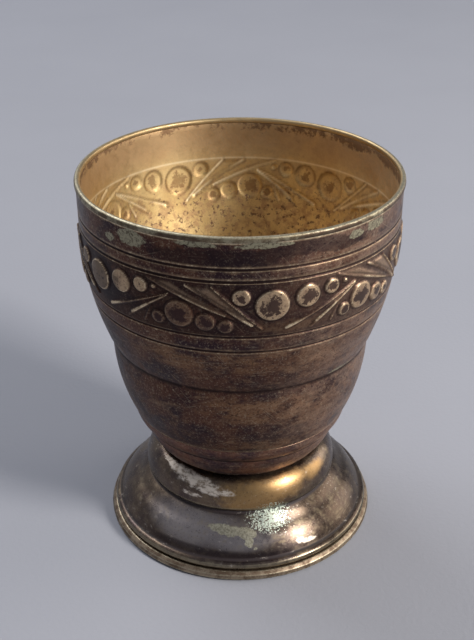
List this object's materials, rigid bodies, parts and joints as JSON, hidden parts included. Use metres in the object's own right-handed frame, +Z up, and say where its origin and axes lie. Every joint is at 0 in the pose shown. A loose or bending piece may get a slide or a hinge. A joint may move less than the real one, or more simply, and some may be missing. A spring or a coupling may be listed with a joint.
{
  "type": "communion chalice",
  "caption": "Small round communion chalice: a deep bowl with a pressed frieze and gilt inside, a turned collar and a low, hollow, stepped foot.",
  "frame": {"origin": "centre of the base, on the surface that the chalice stands on", "axes": "+Z up along the chalice's axis of revolution; -Y towards the side shown first"},
  "size_m": [0.06, 0.06, 0.074],
  "materials": {
    "tarnished_silver": "silver darkened to brown and violet by tarnish, worn pale on raised edges",
    "foot_silver": "tarnished silver, part polished, with pale worn patches",
    "worn_silver": "pale rubbed silver with an olive film in the hollows",
    "gilt": "satin gold wash with dark specks"
  },
  "bodies": {
    "root": {"bowl": "tarnished_silver", "lip_wire": "worn_silver", "collar_ring": "tarnished_silver", "neck_ring": "tarnished_silver", "foot_shell": "foot_silver", "foot_wire": "worn_silver"}
  },
  "joints": []
}
